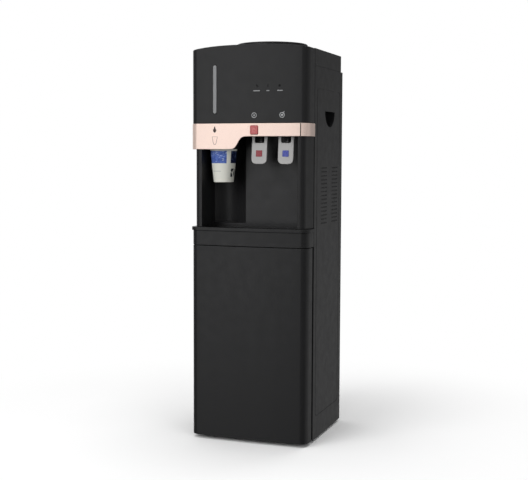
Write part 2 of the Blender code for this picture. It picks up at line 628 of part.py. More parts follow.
# ---- what works inside and behind -----------------------------------------------------------
def make_tanks():
    centre = (0.0, SEAT_Y)
    turned("cold_tank", [(0.0, 0.850), (0.068, 0.850), (0.070, 0.852), (0.070, 0.988),
                         (0.0688, 0.988), (0.0688, 0.8525), (0.067, 0.8512), (0.0, 0.8512)],
           centre, "steel", 32)
    turned("cold_jacket", [(0.0, TANK_LOW), (0.088, TANK_LOW), (0.088, TANK_TOP), (0.0708, TANK_TOP),
                           (0.0708, 0.925), (0.0795, 0.925), (0.0795, 0.858), (0.0708, 0.858),
                           (0.0708, 0.8495), (0.0, 0.8495)], centre, "foam", 32)
    turns, per_turn = 4, 14
    coil = []
    for i in range(turns * per_turn + 1):
        turn = 2 * math.pi * i / per_turn
        rise = 0.8650 + 0.0135 * i / per_turn
        coil.append((centre[0] + 0.0755 * math.cos(turn), centre[1] + 0.0755 * math.sin(turn), rise))
    tube("evaporator_coil", coil, 0.0025, "copper", 6)

    hot = (0.055, at(0.215))
    turned("hot_tank", [(0.0, 0.560), (0.040, 0.560), (0.047, 0.567), (0.047, 0.734),
                        (0.040, 0.741), (0.007, 0.741), (0.007, 0.7398), (0.0395, 0.7398),
                        (0.0458, 0.7335), (0.0458, 0.5675), (0.0395, 0.5612), (0.0, 0.5612)],
           hot, "steel", 24)
    turned("hot_jacket", [(0.0, 0.545), (0.062, 0.545), (0.062, 0.755), (0.010, 0.755),
                          (0.010, 0.7415), (0.0405, 0.7415), (0.0475, 0.7345), (0.0475, 0.5665),
                          (0.0405, 0.5595), (0.0, 0.5595)], hot, "foam", 24)


def make_cooling():
    centre = (0.0, at(0.2365))
    turned("compressor", [(0.0, 0.030), (0.045, 0.030), (0.054, 0.040), (0.054, 0.095),
                          (0.057, 0.097), (0.057, 0.101), (0.054, 0.103), (0.052, 0.140),
                          (0.042, 0.158), (0.022, 0.167), (0.0, 0.169)], centre, "black_steel", 28)
    mount = box("compressor_mount", (-0.075, 0.075), (at(0.186), at(0.287)), (0.0130, 0.0160),
                "black_steel")
    join(mount, cylinder("mount_boss", centre, 0.035, 0.0145, 0.0297, count=16))

    runs, left, right, low, pitch = 7, -0.125, 0.125, 0.290, 0.040
    radius = pitch / 2
    route = []
    for run in range(runs):
        z = low + pitch * run
        ends = (left, right) if run % 2 == 0 else (right, left)
        route += [(ends[0], z), (ends[1], z)]
        if run < runs - 1:
            out = 1 if ends[1] > 0 else -1
            for i in range(1, 5):
                turn = math.pi * i / 5
                route.append((ends[1] + out * radius * math.sin(turn),
                              z + radius - radius * math.cos(turn)))
    tube("condenser", [(x, at(0.3085), z) for x, z in route], 0.0025, "black_steel", 6)
    pipe = [(0.012, at(0.2365), 0.1688), (0.012, at(0.2365), 0.182), (0.036, at(0.243), 0.207),
            (0.064, at(0.258), 0.224), (0.080, at(0.280), 0.226), (0.080, at(0.3052), 0.226)]
    tube("discharge_pipe", smooth_route(pipe, 3), 0.0025, "copper", 6)


def make_hoses():
    stub, hot_x, cold_x = 0.1184, TAP_XS["hot"], TAP_XS["cold"]
    hot = [(hot_x, at(stub), 0.822), (hot_x, at(0.126), 0.822), (0.028, at(0.150), 0.812),
           (0.045, at(0.190), 0.790), (0.055, at(0.215), 0.768), (0.055, at(0.215), 0.7554)]
    cold = [(cold_x, at(stub), 0.822), (cold_x, at(0.126), 0.822), (0.088, at(0.150), 0.822),
            (0.062, at(0.173), 0.820), (0.036, at(0.183), 0.821), (0.031, at(0.1845), 0.829),
            (0.031, at(0.1845), 0.8376)]
    feed = [(-0.030, at(0.205), 0.8376), (-0.030, at(0.205), 0.825), (-0.036, at(0.212), 0.770),
            (-0.036, at(0.215), 0.700), (-0.036, at(0.215), 0.620), (-0.032, at(0.215), 0.575),
            (-0.018, at(0.215), 0.561), (-0.0076, at(0.215), 0.561)]
    for name, stops in (("hot_hose", hot), ("cold_hose", cold), ("feed_hose", feed)):
        tube(name, smooth_route(stops, 3), 0.0050, "silicone", 8)


def rocker_outline(centre_z):
    """A rocker's side view, pressed in at its lower end."""
    reach, pivot = 0.0095, 0.3010
    lean = math.radians(10)
    corners = [(-0.0030, -reach), (0.0035, -reach), (0.0010, 0.0), (0.0035, reach), (-0.0030, reach)]
    return [(at(pivot) + y * math.cos(lean) - z * math.sin(lean),
             centre_z + y * math.sin(lean) + z * math.cos(lean)) for y, z in corners]


def make_rear():
    """The rear panel with its switches, cable gland, drain and control board."""
    panel = box("rear_panel", (-0.157, 0.157), span(PANEL_DEPTH, PANEL_DEPTH + THIN),
                (0.0100, 1.0050))
    holes = [((x - 0.0075, x + 0.0075), span(0.28, 0.31), (0.7095, 0.7305)) for x in (0.075, 0.105)]
    holes += [((-0.120, -0.020), span(0.28, 0.31), (z, z + 0.005))
              for z in (0.045 + 0.012 * i for i in range(12))]
    holes += [((0.030, 0.110), span(0.28, 0.31), (z, z + 0.005))
              for z in (0.045 + 0.012 * i for i in range(8))]
    holes += [((0.076, 0.084), span(0.28, 0.31), (0.222, 0.230))]
    cut(panel, boxes("rear_holes", holes))
    cut(panel, cylinder("gland_hole", (0.135, 0.120), 0.0083, *span(0.28, 0.31), axis="Y", count=20),
        cylinder("drain_hole", (0.055, 0.575), 0.0068, *span(0.28, 0.31), axis="Y", count=20))
    for name, x in (("heat_switch", 0.075), ("cool_switch", 0.105)):
        prism(name, rocker_outline(0.720), x - 0.0065, x + 0.0065, "red_plastic", "X")
    gland = cylinder("cable_gland", (0.135, 0.120), 0.0080, *span(0.290, 0.3020), "rubber", "Y", 20)
    flange = cylinder("gland_flange", (0.135, 0.120), 0.0115,
                      *span(PANEL_DEPTH + THIN + GAP, 0.3025), axis="Y", count=20)
    nose = cylinder("gland_nose", (0.135, 0.120), 0.0060, *span(0.300, 0.3160), axis="Y", count=20)
    join(gland, flange, nose)
    cut(gland, cylinder("cable_way", (0.135, 0.120), 0.0035, *span(0.28, 0.33), axis="Y", count=12))
    pipe = cylinder("drain_pipe", (0.055, 0.575), 0.0060, *span(0.2775, 0.3050), "silicone", "Y", 16)
    cut(pipe, cylinder("drain_bore", (0.055, 0.575), 0.0040, *span(0.27, 0.31), axis="Y", count=12))
    cap = cylinder("drain_cap", (0.055, 0.575), 0.0100, *span(0.2990, 0.3130), "black_plastic", "Y", 12)
    cut(cap, cylinder("cap_socket", (0.055, 0.575), 0.0065, *span(0.29, 0.3055), axis="Y", count=16))
    box("control_board", (-0.140, -0.055), span(0.2895, 0.2911), (0.600, 0.720), "circuit_board")


def build():
    for leftover in list(bpy.data.objects):
        bpy.data.objects.remove(leftover)
    make_head()
    make_band()
    make_front_frame()
    make_alcove()
    make_side_panels()
    make_top()
    make_cup_dispenser()
    for kind, x in TAP_XS.items():
        make_tap(kind, x)
    make_drip_tray()
    make_door()
    make_hinges()
    make_cabinet()
    make_tanks()
    make_cooling()
    make_hoses()
    make_rear()


build()
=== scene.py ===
"""The looks of a floor-standing water dispenser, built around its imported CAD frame.

Everything is in metres in the frame's own axes: +X to the viewer's right, +Y to the rear, +Z up.
Most pieces are finer copies of a CAD node's own shape, with rounded edges and moulded details.
"""

import json
import math

import bmesh
import bpy
from mathutils import Matrix, Vector


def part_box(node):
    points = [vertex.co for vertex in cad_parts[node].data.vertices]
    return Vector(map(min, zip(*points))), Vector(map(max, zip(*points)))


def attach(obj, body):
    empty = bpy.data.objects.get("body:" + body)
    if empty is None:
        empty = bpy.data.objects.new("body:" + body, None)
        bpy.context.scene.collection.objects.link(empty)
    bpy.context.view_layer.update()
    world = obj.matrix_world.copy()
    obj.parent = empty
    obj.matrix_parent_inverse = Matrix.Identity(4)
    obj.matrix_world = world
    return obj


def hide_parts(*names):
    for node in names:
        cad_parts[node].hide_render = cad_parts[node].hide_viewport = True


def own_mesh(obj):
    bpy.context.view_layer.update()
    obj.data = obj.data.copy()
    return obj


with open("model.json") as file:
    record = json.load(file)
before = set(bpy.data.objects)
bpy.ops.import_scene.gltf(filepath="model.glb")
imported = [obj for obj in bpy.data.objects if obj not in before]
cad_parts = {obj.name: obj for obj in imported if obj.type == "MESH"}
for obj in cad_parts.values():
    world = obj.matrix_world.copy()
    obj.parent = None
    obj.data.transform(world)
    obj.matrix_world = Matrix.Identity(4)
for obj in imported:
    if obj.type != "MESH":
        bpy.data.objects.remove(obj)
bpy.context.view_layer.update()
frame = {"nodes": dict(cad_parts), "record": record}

NODE_SLOT = {row["node"]: row["material_slot"] for row in frame["record"]["subparts"]}
NODE_BODY = {
    node: body for body, nodes in frame["record"]["behaviour"]["bodies"].items() for node in nodes
}

# ---- sizes that several pieces share ----------------------------------------------------------
HEAD_LOW, HEAD_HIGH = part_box("head_panel")
FRONT = HEAD_LOW.y               # the front face on the centre line
HALF = HEAD_HIGH.x               # half the width across the side panels
BOW_RADIUS = 2.6                 # the front is a very flat arc in plan
TAP_Y = FRONT + 0.047            # the line that both taps stand on
NICHE_X, NICHE_Y, NICHE_RADIUS = -0.0938, FRONT + 0.0455, 0.0710    # the round niche, in plan
NICHE_LOW, NICHE_HIGH = 0.578, 0.832
SAME_SPOT = 2e-6                 # vertices closer than this are one


# ---- materials --------------------------------------------------------------------------------
class Nodes:
    """A small helper that adds and links shader nodes."""

    def __init__(self, name, owners=bpy.data.materials, shader="Principled BSDF"):
        self.material = owners.new(name)
        self.material.use_nodes = True
        self.tree = self.material.node_tree
        self.shader = self.tree.nodes[shader]
        self.where = None

    def add(self, kind, inputs=None, **settings):
        node = self.tree.nodes.new(kind)
        for key, value in settings.items():
            setattr(node, key, value)
        for key, value in (inputs or {}).items():
            socket = node.inputs[key]
            if isinstance(value, bpy.types.NodeSocket):
                self.tree.links.new(value, socket)
            else:
                socket.default_value = value
        return node

    def position(self):
        """Object coordinates, which are metres in the frame's axes."""
        if not self.where:
            self.where = self.add("ShaderNodeTexCoord").outputs["Object"]
        return self.where

    def noise(self, scale, detail=3.0, roughness=0.5, stretch=None):
        where = self.position()
        if stretch:
            mapping = self.add("ShaderNodeMapping", {"Vector": where, "Scale": stretch})
            where = mapping.outputs["Vector"]
        made = self.add("ShaderNodeTexNoise", {
            "Vector": where, "Scale": scale, "Detail": detail, "Roughness": roughness})
        return made.outputs["Fac"]

    def spread(self, value, low, high, start=0.0, stop=1.0, ease="LINEAR"):
        """Maps a value from start-stop to low-high."""
        made = self.add("ShaderNodeMapRange", {
            "Value": value, "From Min": start, "From Max": stop, "To Min": low, "To Max": high},
            interpolation_type=ease)
        return made.outputs["Result"]

    def math(self, operation, first, second=0.0, third=0.0):
        made = self.add("ShaderNodeMath", {0: first, 1: second, 2: third}, operation=operation)
        return made.outputs["Value"]

    def off(self, value, centre):
        """How far a value is from a centre."""
        return self.math("ABSOLUTE", self.math("SUBTRACT", value, centre))

    def between(self, value, low, high):
        above = self.math("GREATER_THAN", value, low)
        return self.math("MULTIPLY", above, self.math("LESS_THAN", value, high))

    def all_of(self, first, *others):
        for other in others:
            first = self.math("MULTIPLY", first, other)
        return first

    def mix(self, factor, first, second):
        made = self.add("ShaderNodeMix", {"Factor": factor, 6: first, 7: second}, data_type="RGBA")
        return made.outputs[2]

    def bump(self, layers):
        """Stacks height layers of (height, strength, distance in metres)."""
        normal = None
        for height, strength, distance in layers:
            inputs = {"Height": height, "Strength": strength, "Distance": distance}
            if normal:
                inputs["Normal"] = normal
            normal = self.add("ShaderNodeBump", inputs).outputs["Normal"]
        self.link(normal, "Normal")

    def link(self, output, socket):
        self.tree.links.new(output, self.shader.inputs[socket])

    def set(self, **values):
        for name, value in values.items():
            self.shader.inputs[name.replace("_", " ")].default_value = value


def shade(colour, factor=1.0):
    """An opaque colour, made darker or lighter."""
    return (*(channel * factor for channel in colour), 1.0)


def plastic(name, colour, roughness, grain=0.00004, specular=0.5, tint=0.12):
    """Moulded plastic: fine spark-eroded grain, soft flow variation and faint handling marks."""
    n = Nodes(name)
    flow = n.noise(9.0, 4.0, stretch=(1.0, 1.0, 0.45))
    n.link(n.mix(flow, shade(colour, 1 - tint), shade(colour, 1 + tint)), "Base Color")
    handled = n.noise(38.0, 6.0, 0.65)
    n.link(n.spread(handled, roughness - 0.05, roughness + 0.05, 0.3, 0.7), "Roughness")
    fine = n.noise(2600.0, 2.0, 0.6)
    wave = n.noise(22.0, 2.0)
    n.bump([(wave, 0.25, 0.0003), (fine, 0.5, grain)])
    n.set(Specular_IOR_Level=specular)
    return n.material


def pearl_paint(name, colour):
    """Satin pearl paint with fine metal flakes."""
    n = Nodes(name)
    flake = n.add("ShaderNodeTexVoronoi", {"Vector": n.position(), "Scale": 2400.0})
    grey = n.add("ShaderNodeRGBToBW", {"Color": flake.outputs["Color"]}).outputs["Val"]
    base = n.mix(n.noise(14.0, 3.0), shade(colour, 0.95), shade(colour))
    glint = n.mix(n.spread(grey, 0.0, 0.35, 0.55, 1.0), base, (1.0, 0.90, 0.84, 1.0))
    n.link(glint, "Base Color")
    n.link(n.spread(grey, 0.26, 0.40), "Roughness")
    n.bump([(n.noise(30.0, 2.0), 0.2, 0.0003), (grey, 0.15, 0.00003)])
    n.set(Metallic=0.45, Coat_Weight=0.35, Coat_Roughness=0.15, Specular_IOR_Level=0.5)
    return n.material


def metal(name, colour, roughness, metallic=1.0):
    """Metal with fine lines along Z, and a little tarnish."""
    n = Nodes(name)
    lines = n.noise(900.0, 2.0, 0.6, (1.0, 1.0, 0.02))
    patches = n.spread(n.noise(25.0, 5.0, 0.6), 0.0, 1.0, 0.35, 0.75)
    n.link(n.mix(patches, shade(colour, 0.72), shade(colour)), "Base Color")
    n.link(n.spread(lines, roughness - 0.08, roughness + 0.10, 0.3, 0.7), "Roughness")
    n.bump([(lines, 0.3, 0.00003)])
    n.set(Metallic=metallic)
    return n.material


def translucent(name, colour, deep):
    """Tinted moulded plastic, clouded between a bright and a deep colour, under a clear coat."""
    n = Nodes(name)
    n.link(n.mix(n.noise(120.0, 3.0), shade(deep), shade(colour)), "Base Color")
    n.link(n.spread(n.noise(300.0, 2.0), 0.22, 0.34), "Roughness")
    n.bump([(n.noise(500.0, 2.0), 0.2, 0.00004)])
    n.set(Coat_Weight=0.3, Coat_Roughness=0.1)
    return n.material


def foam(name, colour):
    """Skinned expanded foam: cells and flow lines."""
    n = Nodes(name)
    cells = n.add("ShaderNodeTexVoronoi", {"Vector": n.position(), "Scale": 420.0}).outputs["Distance"]
    flow = n.noise(28.0, 4.0)
    n.link(n.mix(flow, shade(colour, 0.84), shade(colour)), "Base Color")
    n.link(n.spread(flow, 0.80, 0.95), "Roughness")
    n.bump([(flow, 0.5, 0.002), (cells, 0.6, 0.0006)])
    return n.material


def printed_paper(name, low, high, axis):
    """A coated paper cup: cream board with a printed band, one panel of it mottled blue and one navy,
    with gaps between them. The navy panel faces away from the key light, and its dark colour is
    partly painted shade. low and high are the band's heights, and axis is the cup's centre line."""
    n = Nodes(name)
    around = n.add("ShaderNodeVectorMath", {0: n.position(), 1: (axis[0], axis[1], 0.0)},
                   operation="SUBTRACT").outputs["Vector"]
    parts = n.add("ShaderNodeSeparateXYZ", {"Vector": around})
    turn = n.math("ARCTAN2", parts.outputs["Y"], parts.outputs["X"])
    height = parts.outputs["Z"]

    first_gap, second_gap, half_gap, shaded_navy_end = -0.77, 2.37, 0.18, 0.60    # angles round the cup
    band = n.all_of(n.between(height, low, high),
                    n.math("GREATER_THAN", n.off(turn, first_gap), half_gap),
                    n.math("GREATER_THAN", n.off(turn, second_gap), half_gap))
    mottle = n.spread(n.noise(130.0, 5.0, 0.7), 0.0, 1.0, 0.34, 0.70)
    blue = n.mix(mottle, (0.018, 0.045, 0.24, 1.0), (0.13, 0.22, 0.60, 1.0))
    streak = n.spread(n.noise(110.0, 3.0, 0.6, (1.0, 1.0, 3.0)), 0.0, 0.8, 0.58, 0.68)
    sky = n.mix(streak, blue, (0.62, 0.72, 0.88, 1.0))
    flecks = n.spread(n.noise(210.0, 2.0), 0.0, 0.8, 0.60, 0.68)
    # The dark navy here is partly print and partly painted shade for the side turned away from the key
    # light.
    shaded_navy = n.mix(flecks, (0.004, 0.008, 0.040, 1.0), (0.20, 0.28, 0.48, 1.0))
    ink = n.mix(n.between(turn, first_gap, shaded_navy_end), sky, shaded_navy)

    # A near-black patch low on the side of the cup turned to the right.
    dark_patch = n.all_of(n.math("LESS_THAN", n.off(turn, -0.22), 0.30),
                    n.between(height, low - 0.036, low - 0.014),
                    n.spread(n.noise(120.0, 3.0, 0.6), 0.0, 1.0, 0.44, 0.50))
    dash = n.all_of(n.math("LESS_THAN", n.off(height, low - 0.021), 0.0007),
                    n.between(turn, -2.35, -1.45))
    fibre = n.noise(700.0, 5.0, 0.7)
    board = n.mix(fibre, (0.68, 0.68, 0.61, 1.0), (0.79, 0.79, 0.72, 1.0))
    patched = n.mix(dark_patch, board, (0.012, 0.014, 0.020, 1.0))
    lined = n.mix(n.math("MULTIPLY", dash, 0.6), patched, (0.20, 0.23, 0.27, 1.0))
    n.link(n.mix(band, lined, ink), "Base Color")
    n.link(n.spread(fibre, 0.42, 0.58), "Roughness")
    n.bump([(fibre, 0.35, 0.00012)])
    return n.material


def circuit(name):
    """A green board with tracks and pads."""
    n = Nodes(name)
    tracks = n.add("ShaderNodeTexBrick", {
        "Vector": n.position(), "Scale": 260.0, "Mortar Size": 0.012,
        "Color1": (0.01, 0.10, 0.04, 1.0), "Color2": (0.01, 0.13, 0.05, 1.0),
        "Mortar": (0.08, 0.30, 0.12, 1.0)})
    n.link(tracks.outputs["Color"], "Base Color")
    n.link(n.spread(n.noise(200.0), 0.3, 0.5), "Roughness")
    n.bump([(tracks.outputs["Fac"], 0.4, 0.0001)])
    return n.material


FINISH = {
    "black_plastic": plastic("satin_black", (0.0125, 0.0125, 0.0132), 0.36, specular=0.36),
    "rose_gold": pearl_paint("rose_gold_pearl", (0.93, 0.72, 0.63)),
    "grey_plastic": plastic("silver_grey", (0.375, 0.370, 0.365), 0.32, tint=0.05),
    "red_plastic": translucent("red_lens", (0.27, 0.016, 0.028), (0.19, 0.010, 0.020)),
    "blue_plastic": translucent("blue_lens", (0.030, 0.052, 0.36), (0.018, 0.032, 0.26)),
    "green_plastic": translucent("green_lens", (0.03, 0.38, 0.08), (0.02, 0.25, 0.05)),
    "window_plastic": plastic("smoked_window", (0.20, 0.205, 0.21), 0.22, tint=0.10),
    "white_plastic": plastic("white_liner", (0.62, 0.62, 0.61), 0.45, tint=0.05),
    "foam": foam("expanded_foam", (0.70, 0.68, 0.60)),
    "steel": metal("brushed_steel", (0.62, 0.62, 0.63), 0.30),
    "copper": metal("drawn_copper", (0.78, 0.38, 0.22), 0.30),
    "black_steel": metal("black_enamel", (0.020, 0.020, 0.022), 0.42, metallic=0.0),
    "silicone": plastic("milky_silicone", (0.55, 0.57, 0.56), 0.42, tint=0.06),
    "rubber": plastic("black_rubber", (0.018, 0.018, 0.018), 0.75, grain=0.0001, specular=0.3),
    "circuit_board": circuit("circuit_board"),
}
ROSY_RED = translucent("rosy_red_lens", (0.46, 0.092, 0.092), (0.38, 0.066, 0.070))
MARKS = plastic("pale_print", (0.50, 0.51, 0.52), 0.45, tint=0.05)
DARK_MARKS = plastic("dark_print", (0.040, 0.022, 0.020), 0.45, tint=0.05)
FAINT_MARKS = plastic("faint_print", (0.30, 0.18, 0.17), 0.45, tint=0.05)
LIGHTS = plastic("indicator_lens", (0.22, 0.225, 0.23), 0.25, tint=0.05)
DEEP_MARKS = plastic("deep_print", (0.0035, 0.0035, 0.0035), 0.6, specular=0.15, tint=0.05)
SHADOW_LINE = plastic("shadow_line", (0.055, 0.036, 0.032), 0.5, specular=0.2, tint=0.05)
DEEP_BLACK = plastic("moulded_black", (0.0145, 0.0145, 0.0154), 0.35, specular=0.40)


# ---- making pieces ----------------------------------------------------------------------------
def place(piece, body, slot, finish=None, nodes=()):
    """Gives a piece its body and a finish, which is its slot's own unless one is given, and hides the CAD
    nodes it stands for.
    """
    piece.data.materials.clear()
    piece.data.materials.append(finish or FINISH[slot])
    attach(piece, body)
    if nodes:
        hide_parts(*nodes)


def add_object(name, data):
    """An object of the scene for a mesh, a curve, a light or a camera."""
    made = bpy.data.objects.new(name, data)
    bpy.context.scene.collection.objects.link(made)
    return made


def made_object(name, bm, smooth=True):
    """Turns a bmesh into an object of the scene, with outward normals."""
    bmesh.ops.recalc_face_normals(bm, faces=bm.faces)
    mesh = bpy.data.meshes.new(name)
    bm.to_mesh(mesh)
    bm.free()
    for polygon in mesh.polygons:
        polygon.use_smooth = smooth
    return add_object(name, mesh)


def soften(piece, width, segments=3, angle=32.0):
    """Rounds a piece's edges and keeps its flat faces flat."""
    bevel = piece.modifiers.new("rounded_edges", "BEVEL")
    bevel.width = width
    bevel.segments = segments
    bevel.limit_method = "ANGLE"
    bevel.angle_limit = math.radians(angle)
    bevel.use_clamp_overlap = False
    bevel.miter_outer = "MITER_ARC"
    bevel.harden_normals = True
    weighted = piece.modifiers.new("flat_faces", "WEIGHTED_NORMAL")
    weighted.keep_sharp = True


def evaluated(piece):
    """A piece's mesh with its modifiers applied."""
    graph = bpy.context.evaluated_depsgraph_get()
    return bpy.data.meshes.new_from_object(piece.evaluated_get(graph))


def combine(piece, *tools, operation="DIFFERENCE"):
    """Cuts the tools from a piece, or joins them to it, and removes them."""
    for tool in tools:
        boolean = piece.modifiers.new("combined", "BOOLEAN")
        boolean.operation = operation
        boolean.solver = "EXACT"
        boolean.object = tool
    mesh = evaluated(piece)
    piece.modifiers.clear()
    piece.data = mesh
    for tool in tools:
        bpy.data.objects.remove(tool)


def convex_together(first, second, line):
    """Whether two flat faces that meet along a line of edges would make one convex face."""
    common = set(first.verts) & set(second.verts)
    if len(common) != len(line) + 1:
        return False
    touched = [vert for edge in line for vert in edge.verts]
    ends = [vert for vert in common if touched.count(vert) == 1]
    straight = math.pi + 0.002
    return all(
        sum(loop.calc_angle() for loop in vert.link_loops if loop.face in (first, second)) < straight
        for vert in ends
    )


def simplify(piece):
    """Joins the triangles of each flat face into larger convex faces, so that fewer edges that
    aren't real are left for the rounding to work around."""
    bm = bmesh.new()
    bm.from_mesh(piece.data)
    bmesh.ops.remove_doubles(bm, verts=bm.verts, dist=SAME_SPOT)
    for edge in list(bm.edges):
        if not edge.is_valid or len(edge.link_faces) != 2:
            continue
        first, second = edge.link_faces
        if first.normal.angle(second.normal, math.pi) > math.radians(0.25):
            continue
        line = [side for side in first.edges if second in side.link_faces]
        if convex_together(first, second, line):
            bmesh.utils.face_join((first, second)).normal_update()
    for element in (*bm.faces, *bm.edges):
        element.smooth = True
    bm.to_mesh(piece.data)
    bm.free()


def refined(node, width, tools=(), segments=3, finish=None):
    """A finer copy of a CAD node: its own shape with cut details and rounded edges."""
    mesh = bpy.data.meshes.new(node)
    bm = bmesh.new()
    bm.from_mesh(frame["nodes"][node].data)
    bmesh.ops.remove_doubles(bm, verts=bm.verts, dist=SAME_SPOT)
    bm.to_mesh(mesh)
    bm.free()
    piece = add_object(f"{node}.shell", mesh)
    if tools:
        combine(piece, *tools)
    simplify(piece)
    soften(piece, width, segments)
    place(piece, NODE_BODY[node], NODE_SLOT[node], finish, [node])


def refined_all(widths):
    """Plain finer copies, given as the width of rounding for each node."""
    for node, width in widths.items():
        refined(node, width)


def prism(name, outline, low, high, axis="Y"):
    """Extrudes a closed outline, which is (x, z) along Y and (x, y) along Z."""
    spots = {"Y": lambda a, b, c: (a, c, b), "Z": lambda a, b, c: (a, b, c)}[axis]
    bm = bmesh.new()
    ends = [[bm.verts.new(spots(a, b, c)) for a, b in outline] for c in (low, high)]
    bm.faces.new(ends[0])
    bm.faces.new(ends[1])
    for i in range(len(outline)):
        j = (i + 1) % len(outline)
        bm.faces.new((ends[0][i], ends[0][j], ends[1][j], ends[1][i]))
    return made_object(name, bm, smooth=False)


def block(name, xs, ys, zs):
    """A box between limits, for joining and cutting."""
    return prism(name, [(xs[0], ys[0]), (xs[1], ys[0]), (xs[1], ys[1]), (xs[0], ys[1])], *zs, axis="Z")


def lathe(name, profile, centre, count=96):
    """Revolves a closed profile of (radius, z) points about the vertical line through centre."""
    bm = bmesh.new()
    turns = [2 * math.pi * i / count for i in range(count)]
    rings = []
    for radius, z in profile:
        if radius == 0:
            rings.append([bm.verts.new((*centre, z))] * count)
        else:
            rings.append([
                bm.verts.new((centre[0] + radius * math.cos(t), centre[1] + radius * math.sin(t), z))
                for t in turns
            ])
    for near, far in zip(rings, rings[1:] + rings[:1]):
        for i in range(count):
            j = (i + 1) % count
            corners = list(dict.fromkeys((near[i], near[j], far[j], far[i])))
            if len(corners) > 2:
                bm.faces.new(corners)
    return made_object(name, bm)


def join_sections(bm, pairs):
    """Faces between neighbouring four-cornered sections of a bar."""
    for near, far in pairs:
        for i in range(4):
            j = (i + 1) % 4
            bm.faces.new((near[i], near[j], far[j], far[i]))


def circle(x, z, radius, count):
    """Points round a circle in either plane."""
    turns = [2 * math.pi * i / count for i in range(count)]
    return [(x + radius * math.cos(t), z + radius * math.sin(t)) for t in turns]


def rounded(xs, zs, radius, count=6):
    """The outline of a rounded rectangle."""
    points = []
    corners = ((xs[1], zs[1], 0), (xs[0], zs[1], 90), (xs[0], zs[0], 180), (xs[1], zs[0], 270))
    for x, z, start in corners:
        cx = x - radius if x == xs[1] else x + radius
        cz = z - radius if z == zs[1] else z + radius
        for i in range(count + 1):
            turn = math.radians(start + 90 * i / count)
            points.append((cx + radius * math.cos(turn), cz + radius * math.sin(turn)))
    return points


def shifted(points, x, z):
    """Points given from (x, z), as points of the frame."""
    return [(x + dx, z + dz) for dx, dz in points]


def front_y(x, inset=0.0):
    """The front surface at x, moved in by inset."""
    bow = BOW_RADIUS - inset
    return FRONT + BOW_RADIUS - math.sqrt(bow * bow - x * x)


def ribbon(name, lines, width, surface, proud=0.00012):
    """A thin raised print along lines of (x, z) points, laid on a surface given as y of x. Each
    line is its points and whether it is closed."""
    bm = bmesh.new()
    sunk = 0.0001
    for points, closed in lines:
        count = len(points)
        sections = []
        for i, (x, z) in enumerate(points):
            before = points[i - 1] if closed or i else points[i]
            after = points[(i + 1) % count] if closed or i < count - 1 else points[i]
            along = Vector((after[0] - before[0], after[1] - before[1])).normalized()
            side = Vector((-along.y, along.x)) * width / 2
            section = []
            for sign, lift in ((1, proud), (-1, proud), (-1, -sunk), (1, -sunk)):
                px, pz = x + sign * side.x, z + sign * side.y
                section.append(bm.verts.new((px, surface(px) - lift, pz)))
            sections.append(section)
        pairs = list(zip(sections, sections[1:]))
        if closed:
            pairs.append((sections[-1], sections[0]))
        else:
            bm.faces.new(sections[0])
            bm.faces.new(sections[-1])
        join_sections(bm, pairs)
    return made_object(name, bm, smooth=False)


def pipe(name, points, radius, sides):
    """A smooth round tube along points, as a mesh."""
    curve = bpy.data.curves.new(name, "CURVE")
    curve.dimensions = "3D"
    curve.bevel_depth = radius
    curve.bevel_resolution = sides // 2 - 2
    curve.use_fill_caps = True
    spline = curve.splines.new("POLY")
    spline.points.add(len(points) - 1)
    for spot, point in zip(spline.points, points):
        spot.co = (*point, 1.0)
    path = add_object(name + "_path", curve)
    mesh = evaluated(path)
    mesh.name = name
    bpy.data.objects.remove(path)
    bm = bmesh.new()
    bm.from_mesh(mesh)
    bmesh.ops.remove_doubles(bm, verts=bm.verts, dist=1e-6)
    bm.to_mesh(mesh)
    bm.free()
    for polygon in mesh.polygons:
        polygon.use_smooth = len(polygon.vertices) == 4
    return add_object(name, mesh)


# ---- the head and the band --------------------------------------------------------------------
def short_line(x, z, angle, reach):
    """A line through a point at an angle in degrees, of twice the reach."""
    turn = math.radians(angle)
    dx, dz = reach * math.cos(turn), reach * math.sin(turn)
    return [(x - dx, z - dz), (x + dx, z + dz)], False


